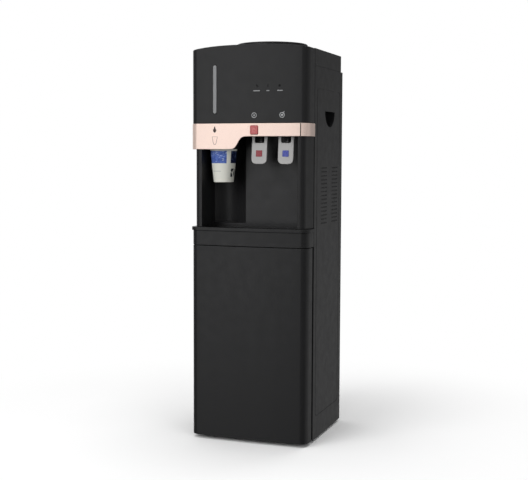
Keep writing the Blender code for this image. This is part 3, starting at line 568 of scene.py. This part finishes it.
def make_head():
    """The bowed panel with its window, three lamps with small icons, and a ring over each tap."""
    refined("head_panel", 0.0014, segments=4)
    refined("cup_window", 0.0005)
    lamp_z, half_height = HEAD_LOW.z + 0.0827, 0.0013
    lamps = (("hot", 0.0240, 0.0092), ("power", 0.0550, 0.0042), ("cold", 0.0862, 0.0085))
    for name, x, half in lamps:
        outline = rounded((x - half, x + half), (lamp_z - half_height, lamp_z + half_height), 0.0011)
        lamp = prism(f"{name}_lamp", outline, front_y(x) - 0.0002, front_y(x) + 0.0012)
        soften(lamp, 0.0001, 2)
        place(lamp, "cabinet", "window_plastic", LIGHTS)

    icon_z = lamp_z + 0.0125
    steam = [(0.0245 + 0.0011 * math.sin(i * 0.9), icon_z - 0.0038 + 0.0011 * i) for i in range(8)]
    second_steam = [(x + 0.0026, z) for x, z in steam[1:-1]]
    plug = [(0.0540, icon_z - 0.0036), (0.0562, icon_z - 0.0004), (0.0538, icon_z + 0.0004),
            (0.0560, icon_z + 0.0038)]
    crystal = [short_line(0.0862, icon_z, angle, 0.0034) for angle in (30, 90, 150)]
    icons = [(steam, False), (second_steam, False), (plug, False), *crystal]
    place(ribbon("lamp_icons", icons, 0.0016, front_y), "cabinet", "black_plastic", DEEP_MARKS)

    hot_x, cold_x, symbol_z, symbol_radius = 0.0175, 0.0930, HEAD_LOW.z + 0.0203, 0.0062
    drop = shifted([(0.0, 0.0030), (-0.0014, 0.0002), (-0.0012, -0.0014), (0.0, -0.0022),
                    (0.0012, -0.0014), (0.0014, 0.0002)], hot_x, symbol_z)
    hot = [(circle(hot_x, symbol_z, symbol_radius, 40), True), (drop, True)]
    place(ribbon("hot_symbol", hot, 0.0011, front_y), "cabinet", "grey_plastic", MARKS)
    flake = [short_line(cold_x, symbol_z, angle, 0.0036) for angle in (30, 90, 150)]
    tail = shifted([(0.0038, 0.0066), (0.0060, 0.0092)], cold_x, symbol_z)
    cold = [(circle(cold_x, symbol_z, symbol_radius, 40), True), *flake, (tail, False)]
    place(ribbon("cold_symbol", cold, 0.0011, front_y), "cabinet", "grey_plastic", MARKS)


def band_front(x):
    """The band's front face, which stands proud of the head."""
    return front_y(x, -0.0015)


def make_band():
    """The pearl band with a drop and a cup on its tab, a line near its right end, and the button."""
    refined("trim_band", 0.0009, segments=4)
    refined("child_lock_button", 0.0014, segments=4, finish=ROSY_RED)
    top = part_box("trim_band")[1].z
    tab_x = -0.0925                  # the middle of the tab, over the cup
    half_drop = ((0.0, -0.0070), (0.0016, -0.0100), (0.0026, -0.0140), (0.0044, -0.0162),
                 (0.0046, -0.0188), (0.0036, -0.0212), (0.0016, -0.0230), (0.0, -0.0240))
    other_half = [(-x, z) for x, z in reversed(half_drop[1:-1])]
    drop = shifted([*half_drop, *other_half], tab_x, top)
    drop_mark = prism("drop_mark", drop, band_front(tab_x) - 0.0001, band_front(tab_x) + 0.0004)
    place(drop_mark, "cabinet", "rose_gold", DARK_MARKS)
    cup = shifted([(-0.0075, -0.0345), (0.0075, -0.0345), (0.0042, -0.0500), (0.0022, -0.0545),
                   (-0.0022, -0.0545), (-0.0042, -0.0500)], tab_x, top)
    place(ribbon("cup_mark", [(cup, True)], 0.0014, band_front), "cabinet", "rose_gold", FAINT_MARKS)
    line_x, narrow_part_low, short_of = 0.1428, 0.8090, 0.0006
    line = ([(line_x, narrow_part_low + short_of), (line_x, top - short_of)], False)
    place(ribbon("end_cap_line", [line], 0.0028, band_front, 0.00006), "cabinet", "rose_gold",
          SHADOW_LINE)

    low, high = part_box("child_lock_button")
    centre = (low + high) / 2
    shackle = shifted([(-0.0026, 0.0005), (-0.0026, 0.0026), (-0.0013, 0.0042), (0.0013, 0.0042),
                       (0.0026, 0.0026), (0.0026, 0.0005)], centre.x, centre.z)
    case = shifted([(-0.0040, 0.0005), (0.0040, 0.0005), (0.0040, -0.0050), (-0.0040, -0.0050)],
                   centre.x, centre.z)
    lock = ribbon("lock_mark", [(shackle, False), (case, True)], 0.0009, lambda x: low.y, 0.00008)
    place(lock, "lock", "red_plastic", plastic("lock_print", (0.62, 0.20, 0.19), 0.4))


# ---- the alcove, the taps and the cups --------------------------------------------------------
def niche_plan(grow, half):
    """The plan of the round niche behind the cups, which ends on the alcove's left wall."""
    radius, wall_x, steps = NICHE_RADIUS + grow, -half - grow, 56
    sweep = math.acos((wall_x - NICHE_X) / radius)
    turns = [sweep * i / steps for i in range(steps + 1)]
    arc = [(NICHE_X + radius * math.cos(t), NICHE_Y + radius * math.sin(t)) for t in turns]
    return [*arc, (wall_x, NICHE_Y)]


def make_alcove():
    """The alcove's frame, and its liner built again so that its niche is truly round."""
    refined("front_frame", 0.0010)
    low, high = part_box("alcove_liner")
    wall, back, ahead = 0.0025, FRONT + 0.0925, FRONT - 0.02
    half = high.x - wall
    liner = block("alcove_shell", (-half - wall, half + wall), (low.y, back + wall), (low.z, high.z))
    combine(liner, prism("round_back", niche_plan(wall, half), NICHE_LOW - wall, NICHE_HIGH + wall, "Z"),
            operation="UNION")
    tube_low, tube_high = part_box("cup_tube")
    centre = (tube_low + tube_high) / 2
    tube_way = circle(centre.x, centre.y, (tube_high.x - tube_low.x) / 2 + 0.0007, 64)
    tray_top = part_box("drip_tray")[1].z
    combine(liner,
            block("hollow", (-half, half), (ahead, back), (low.z + wall, high.z - wall)),
            prism("niche_hollow", niche_plan(0.0, half), NICHE_LOW, NICHE_HIGH, "Z"),
            block("tray_way", (-0.2, 0.2), (ahead, FRONT + 0.061), (0.5, tray_top + 0.0015)),
            prism("tube_way", tube_way, high.z - 0.01, high.z + 0.01, "Z"))
    for polygon in liner.data.polygons:
        polygon.use_smooth = True
    soften(liner, 0.0009)
    place(liner, "cabinet", "black_plastic", DEEP_BLACK, ["alcove_liner"])


def make_spring(kind):
    """A tap's coil spring, which moves with its stem."""
    low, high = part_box(f"{kind}_tap_spring")
    wire = 0.0005
    margin = wire + 0.0001
    centre, radius, height = (low + high) / 2, (high.x - low.x) / 2 - margin, high.z - low.z
    turns, per_turn, stem_travel = 5, 36, 0.0026
    coil = []
    for i in range(turns * per_turn + 1):
        turn = 2 * math.pi * i / per_turn
        rise = low.z + margin + (height - 2 * margin) * i / (turns * per_turn)
        coil.append((centre.x + radius * math.cos(turn), centre.y + radius * math.sin(turn), rise))
    spring = pipe(f"{kind}_spring", coil, wire, 10)
    place(spring, f"{kind}_stem", "steel", nodes=[f"{kind}_tap_spring"])
    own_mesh(spring)


def make_taps():
    """Each tap with its lever and badge, a collar over its body and a steel ring in its spout."""
    collar_low, collar_high = 0.8085, 0.8110
    for kind in ("hot", "cold"):
        refined(f"{kind}_tap_body", 0.0004)
        refined(f"{kind}_paddle", 0.0012, segments=4)
        refined(f"{kind}_badge", 0.0004)
        low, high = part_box(f"{kind}_tap_body")
        x = (low.x + high.x) / 2
        collar = pipe(f"{kind}_valve_collar", [(x, TAP_Y, collar_low), (x, TAP_Y, collar_high)],
                      0.0125, 48)
        soften(collar, 0.0005)
        place(collar, "cabinet", "black_plastic")
        inner, outer, ring_low, ring_high = 0.0071, 0.0078, low.z + 0.0006, low.z + 0.0026
        spout = lathe(f"{kind}_spout_ring", [(inner, ring_low), (outer, ring_low), (outer, ring_high),
                                             (inner, ring_high)], (x, TAP_Y), 64)
        place(spout, "cabinet", "steel")
        refined(f"{kind}_tap_nut", 0.0004)
        refined(f"{kind}_valve_stem", 0.0003)
        make_spring(kind)


def cup_shape(low, high, rim):
    """A paper cup's section, with a rolled rim and a bottom set up inside the foot."""
    foot, top, wall, rim_height = 0.0265, 0.0364, 0.0007, 0.003
    slope = (top - foot) / (high - rim_height - low)
    roll = [
        (top + 0.0002 + 0.0011 * (1 - math.cos(t)), high - 0.0018 + 0.0016 * math.sin(t))
        for t in (math.radians(-60 + 30 * i) for i in range(6))
    ]
    roll = [(min(radius, rim), z) for radius, z in roll]
    outer = [(foot + slope * (high - rim_height - low) * i / 8, low + (high - 0.004 - low) * i / 8)
             for i in range(9)]
    crown = [(top - 0.0002 - wall * 0.2, high - 0.0002), (top - wall, high - 0.0012)]
    inner = [(top - wall - slope * (high - rim_height - z), z)
             for z in (high - 0.004, (high + low) / 2, low + 0.0105)]
    floor = [(foot - 0.0012, low + 0.0092), (foot * 0.5, low + 0.0086), (0.0, low + 0.0086),
             (0.0, low + 0.0079), (foot * 0.5, low + 0.0079), (foot - 0.0018, low + 0.0082),
             (foot - wall * 1.6, low + 0.0060), (foot - wall * 1.6, low)]
    return outer + roll + crown + inner + floor


def round_box(node):
    """A round node's lowest and highest corners, its centre line and its radius."""
    low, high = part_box(node)
    return low, high, ((low.x + high.x) / 2, (low.y + high.y) / 2), (high.x - low.x) / 2


def make_cups():
    """The hanging cup, the one above it, and the tube that they come from with its lid."""
    for node in ("cup", "cup_next"):
        low, high, centre, rim = round_box(node)
        piece = lathe(f"paper_{node}", cup_shape(low.z, high.z, rim), centre)
        finish = printed_paper(f"{node}_print", low.z + 0.050, low.z + 0.0825, centre)
        place(piece, NODE_BODY[node], "paper", finish, [node])
        soften(piece, 0.0002, 2, 50.0)
    refined("cup_tube", 0.0005)
    low, high, centre, edge = round_box("cup_tube_lid")
    plug, top = 0.0385, high.z
    lid = lathe("tube_lid", [
        (0.0, low.z), (plug, low.z), (plug, top - 0.0032), (edge, top - 0.0032),
        (edge, top - 0.0010), (edge - 0.0010, top), (0.0300, top), (0.0290, top - 0.0012),
        (0.0, top - 0.0012)], centre)
    soften(lid, 0.0003)
    place(lid, "lid", "black_plastic", nodes=["cup_tube_lid"])


# ---- the sides, the top and the back ----------------------------------------------------------
def groove(name, side, ys, zs):
    """A cutter for a shallow groove round a rectangle on a side panel."""
    radius, width, depth, clear = 0.012, 0.0016, 0.0008, 0.002
    face = side * HALF
    outer = rounded(ys, zs, radius, 8)
    inner = rounded((ys[0] + width, ys[1] - width), (zs[0] + width, zs[1] - width), radius - width, 8)
    bm = bmesh.new()
    sections = []
    for (yo, zo), (yi, zi) in zip(outer, inner):
        spots = ((face + side * clear, yo, zo), (face + side * clear, yi, zi),
                 (face - side * depth, yi, zi), (face - side * depth, yo, zo))
        sections.append([bm.verts.new(spot) for spot in spots])
    join_sections(bm, zip(sections, sections[1:] + sections[:1]))
    return made_object(name, bm, smooth=False)


def make_sides():
    """Both side panels, with a groove round the middle of each and a blade in every cooling slot."""
    low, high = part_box("side_panel_right")
    slot_banks = ((0.1225, 0.1725), (0.2195, 0.2735))    # how far behind the front each slot runs
    slots, first_slot, pitch = 15, 0.5803, 0.0105
    for side, name in ((-1, "left"), (1, "right")):
        frame_line = groove(f"frame_groove_{name}", side, (low.y + 0.021, high.y - 0.026),
                            (low.z + 0.060, low.z + 0.929))
        refined(f"side_panel_{name}", 0.0006, [frame_line])
        depths = sorted((side * (HALF - 0.0007), side * (HALF - 0.0027)))
        for bank, (start, stop) in enumerate(slot_banks):
            for row in range(slots):
                z = first_slot + pitch * row
                blade = block(f"louvre_{name}_{bank}_{row}", depths,
                              (FRONT + start - 0.001, FRONT + stop + 0.001), (z - 0.0007, z + 0.0007))
                place(blade, "cabinet", "black_plastic")


def make_top():
    """The cover, and the seat built again as a smooth funnel that takes the bottle's neck."""
    refined("top_cover", 0.0012, segments=4)
    low, high, centre, edge = round_box("bottle_seat")
    top, ledge = high.z, low.z + 0.0413
    sleeve, sleeve_bore = 0.0345, 0.0320
    rim = [(edge, top - 0.0008), (edge, ledge), (edge - 0.0025, ledge), (edge - 0.0025, low.z + 0.0585)]
    underside = [(0.0837 - 0.0437 * t, 1.0535 - 0.0370 * t) for t in (0.08, 0.5, 0.92)]
    neck = [(0.0370, 1.0128), (sleeve, 1.0090), (sleeve, low.z), (sleeve_bore, low.z),
            (sleeve_bore, 1.0110), (0.0345, 1.0155), (0.0400, 1.0200)]
    upper_side = [(0.0400 + 0.0400 * t, 1.0200 + 0.0365 * t) for t in (0.25, 0.5, 0.75, 1.0)]
    lip = [(0.0815, 1.0583), (0.0828, top), (edge - 0.0008, top)]
    funnel = lathe("seat_funnel", rim + underside + neck + upper_side + lip, centre, 112)
    soften(funnel, 0.0004, 2, 40.0)
    place(funnel, "seat", "black_plastic", nodes=["bottle_seat"])


def make_condenser():
    """A flat coil of tube with upright wires on both of its faces."""
    low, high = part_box("condenser")
    y, radius = (low.y + high.y) / 2, (high.y - low.y) / 2
    runs = 7
    pitch = (high.z - low.z - 2 * radius) / (runs - 1)
    left, right = low.x + radius + pitch / 2, high.x - radius - pitch / 2
    route = []
    for run in range(runs):
        z = low.z + radius + pitch * run
        start, stop = (left, right) if run % 2 == 0 else (right, left)
        route += [(start, y, z), (stop, y, z)]
        if run < runs - 1:
            bend = math.copysign(pitch / 2, stop)
            for i in range(1, 12):
                turn = math.pi * i / 12
                route.append((stop + bend * math.sin(turn), y, z + pitch / 2 - pitch / 2 * math.cos(turn)))
    place(pipe("condenser_tube", route, radius, 16), "cabinet", "black_steel", nodes=["condenser"])
    wires, overhang = 24, 0.006
    for face, side in (("front", -1), ("back", 1)):
        for i in range(wires):
            x, wire_y = left + (right - left) * i / (wires - 1), y + side * (radius + 0.0006)
            line = [(x, wire_y, low.z - overhang), (x, wire_y, high.z + overhang)]
            place(pipe(f"condenser_wire_{i}_{face}", line, 0.0008, 8), "cabinet", "black_steel")


def make_back():
    """The rear panel and what it carries."""
    refined_all({"rear_panel": 0.0005, "heat_switch": 0.0006, "cool_switch": 0.0006,
                 "cable_gland": 0.0006, "drain_pipe": 0.0003, "drain_cap": 0.0010})
    make_condenser()


# ---- the low front and the inside -------------------------------------------------------------
def make_low_front():
    """The tray with its grille, the door, the cupboard behind it and the base on its feet."""
    refined("drip_tray", 0.0010, segments=4)
    refined("drip_grille", 0.0005)
    refined("door_panel", 0.0013, segments=4)
    refined_all({"door_liner": 0.0010, "door_gasket": 0.0020, "hinge_bracket_top": 0.0004,
                 "hinge_bracket_bottom": 0.0004, "cabinet_liner": 0.0015, "base_plate": 0.0004,
                 "foot_front_left": 0.0006, "foot_front_right": 0.0006, "foot_rear_left": 0.0006,
                 "foot_rear_right": 0.0006})


BOARD_PARTS = (                      # (x, z) on the control board, (width, height, thickness), slot
    ((0.016, 0.100), (0.018, 0.015, 0.014), "blue_plastic"),     # two relays
    ((0.042, 0.100), (0.018, 0.015, 0.014), "blue_plastic"),
    ((0.020, 0.030), (0.028, 0.032, 0.022), "copper"),           # the transformer
    ((0.060, 0.098), (0.010, 0.024, 0.008), "white_plastic"),    # sockets and chips
    ((0.060, 0.060), (0.012, 0.012, 0.002), "black_plastic"),
    ((0.060, 0.026), (0.020, 0.009, 0.009), "white_plastic"),
    ((0.074, 0.060), (0.006, 0.030, 0.004), "black_plastic"),
)


def make_board_parts():
    """What stands on the control board: boxed parts and four round capacitors."""
    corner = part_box("control_board")[0]
    near_face = corner.y - 0.0001
    for i, ((x, z), (width, height, thickness), slot) in enumerate(BOARD_PARTS):
        x, z = corner.x + x, corner.z + z
        part = block(f"board_part_{i}", (x - width / 2, x + width / 2), (corner.y - thickness, near_face),
                     (z - height / 2, z + height / 2))
        soften(part, 0.0005, 2)
        place(part, "cabinet", slot)
    for i in range(4):
        x, z = corner.x + 0.048 + 0.009 * (i % 2), corner.z + 0.042 + 0.011 * (i // 2)
        can = pipe(f"capacitor_{i}", [(x, near_face, z), (x, corner.y - 0.013, z)], 0.0036, 20)
        place(can, "cabinet", "steel")


def make_inside():
    """The tanks, the compressor and the boards. Tubes keep their CAD shape and get a finish."""
    inside = ("cold_tank", "cold_jacket", "hot_tank", "hot_jacket", "compressor", "compressor_mount",
              "control_board", "indicator_board")
    refined_all({node: 0.0004 for node in inside})
    make_board_parts()
    for node in ("evaporator_coil", "discharge_pipe", "hot_hose", "cold_hose", "feed_hose"):
        piece = frame["nodes"][node]
        piece.data.materials.clear()
        piece.data.materials.append(FINISH[NODE_SLOT[node]])


# ---- the studio -------------------------------------------------------------------------------
def make_camera():
    """The camera stands to the right of the front, about chest high."""
    yaw, pitch, roll = math.radians(20.02), math.radians(4.636), math.radians(0.212)
    position = (0.9679, -2.6883, 0.7598)
    ahead = Vector((-math.sin(yaw) * math.cos(pitch), math.cos(yaw) * math.cos(pitch), -math.sin(pitch)))
    level = Vector((math.cos(yaw), math.sin(yaw), 0.0))
    above = level.cross(ahead)
    right = math.cos(roll) * level + math.sin(roll) * above
    up = -math.sin(roll) * level + math.cos(roll) * above
    data = bpy.data.cameras.new("camera")
    data.lens = 71.07
    data.sensor_width = 36.0
    data.clip_end = 60.0
    camera = add_object("camera", data)
    rows = [(*column, 0.0) for column in (right, up, -ahead)] + [(*position, 1.0)]
    camera.matrix_world = Matrix(rows).transposed()
    bpy.context.scene.camera = camera


def softbox(name, azimuth, height, power, distance=3.0):
    """A soft light aimed at the object's middle. Azimuth is in degrees from the front, + to the right.
    It lights matt surfaces only: what the gloss shows is the world's own pattern."""
    turn = math.radians(azimuth)
    target = Vector((0.0, 0.0, 0.6))
    data = bpy.data.lights.new(name, "AREA")
    data.size = 2.0
    data.energy = power
    light = add_object(name, data)
    light.location = (distance * math.sin(turn), -distance * math.cos(turn), height)
    light.rotation_euler = (target - light.location).to_track_quat("-Z", "Y").to_euler()
    light.visible_glossy = False
    light.visible_camera = False


REFLECTED_BOXES = (    # azimuth and elevation, each as (centre, half width, softness), and radiance
    ((-25, 16, 9), (18, 29.8, 3.5), 0.98),     # the main light, reflected in the front
    ((-25, 16, 9), (-5.5, 4, 3.5), 0.72),      # its bright lower part
    ((108, 31, 9), (-12, 18, 10), 0.44),       # the right edge
    ((160, 26, 10), (-9, 10, 6), 0.21),        # the right side
    ((-142, 34, 10), (14, 28, 12), 0.60),      # behind on the left
)


def make_world():
    """A white background, and around it the soft boxes that gloss reflects, as a function of
    direction: each covers a range of azimuth (from the front, + to the right) and of elevation."""
    n = Nodes("studio", bpy.data.worlds, "Background")
    way = n.add("ShaderNodeSeparateXYZ", {"Vector": n.add("ShaderNodeTexCoord").outputs["Generated"]})
    azimuth = n.math("ARCTAN2", way.outputs["X"], n.math("MULTIPLY", way.outputs["Y"], -1.0))
    elevation = n.math("ARCSINE", way.outputs["Z"])

    def window(angle, centre, half, soft):
        """1 inside a range of degrees round the centre, with soft ends."""
        inner, outer = math.radians(half - soft), math.radians(half + soft)
        return n.spread(n.off(angle, math.radians(centre)), 1.0, 0.0, inner, outer, "SMOOTHSTEP")

    total = n.spread(elevation, 0.07, 0.20, math.radians(-6), math.radians(14), "SMOOTHSTEP")
    for across, up, radiance in REFLECTED_BOXES:
        box = n.math("MULTIPLY", window(azimuth, *across), window(elevation, *up))
        total = n.math("MULTIPLY_ADD", box, radiance, total)
    overhead = n.spread(elevation, 0.0, 0.5, math.radians(50), math.radians(75), "SMOOTHSTEP")
    total = n.math("ADD", total, overhead)
    seen = n.add("ShaderNodeLightPath").outputs["Is Camera Ray"]
    n.link(n.math("MAXIMUM", total, seen), "Strength")
    n.set(Color=(1.0, 1.0, 1.0, 1.0))
    bpy.context.scene.world = n.material
    bpy.context.scene.view_settings.view_transform = "Standard"


def make_floor():
    """A pale floor that fades into the white background. It lights nothing and reflects in nothing."""
    bm = bmesh.new()
    reach = 25.0
    corners = ((-reach, -reach), (reach, -reach), (reach, reach), (-reach, reach))
    bm.faces.new([bm.verts.new((x, y, 0.0)) for x, y in corners])
    floor = made_object("floor", bm, smooth=False)
    n = Nodes("pale_floor")
    n.link(n.mix(n.noise(3.0), (0.88, 0.88, 0.88, 1.0), (0.90, 0.90, 0.90, 1.0)), "Base Color")
    n.set(Roughness=0.9, Specular_IOR_Level=0.1)
    away = n.add("ShaderNodeVectorMath", {0: n.position()}, operation="LENGTH").outputs["Value"]
    white = n.add("ShaderNodeEmission").outputs["Emission"]
    fade = n.add("ShaderNodeMixShader", {
        0: n.spread(away, 0.0, 1.0, 0.35, 1.1, "SMOOTHSTEP"), 1: n.shader.outputs["BSDF"], 2: white})
    n.tree.links.new(fade.outputs["Shader"], n.tree.nodes["Material Output"].inputs["Surface"])
    floor.data.materials.append(n.material)
    floor.visible_glossy = False
    floor.visible_diffuse = False
    floor.visible_shadow = False


def make_studio():
    """The background, the floor and four soft lights."""
    make_world()
    make_floor()
    softbox("key_light", -25, 1.7, 52.0)
    softbox("fill_light", 42, 0.8, 23.0)
    softbox("top_light", 0, 3.4, 52.0, distance=0.3)
    softbox("rear_light", 165, 2.0, 30.0)


make_head()
make_band()
make_alcove()
make_taps()
make_cups()
make_sides()
make_top()
make_back()
make_low_front()
make_inside()
make_camera()
make_studio()
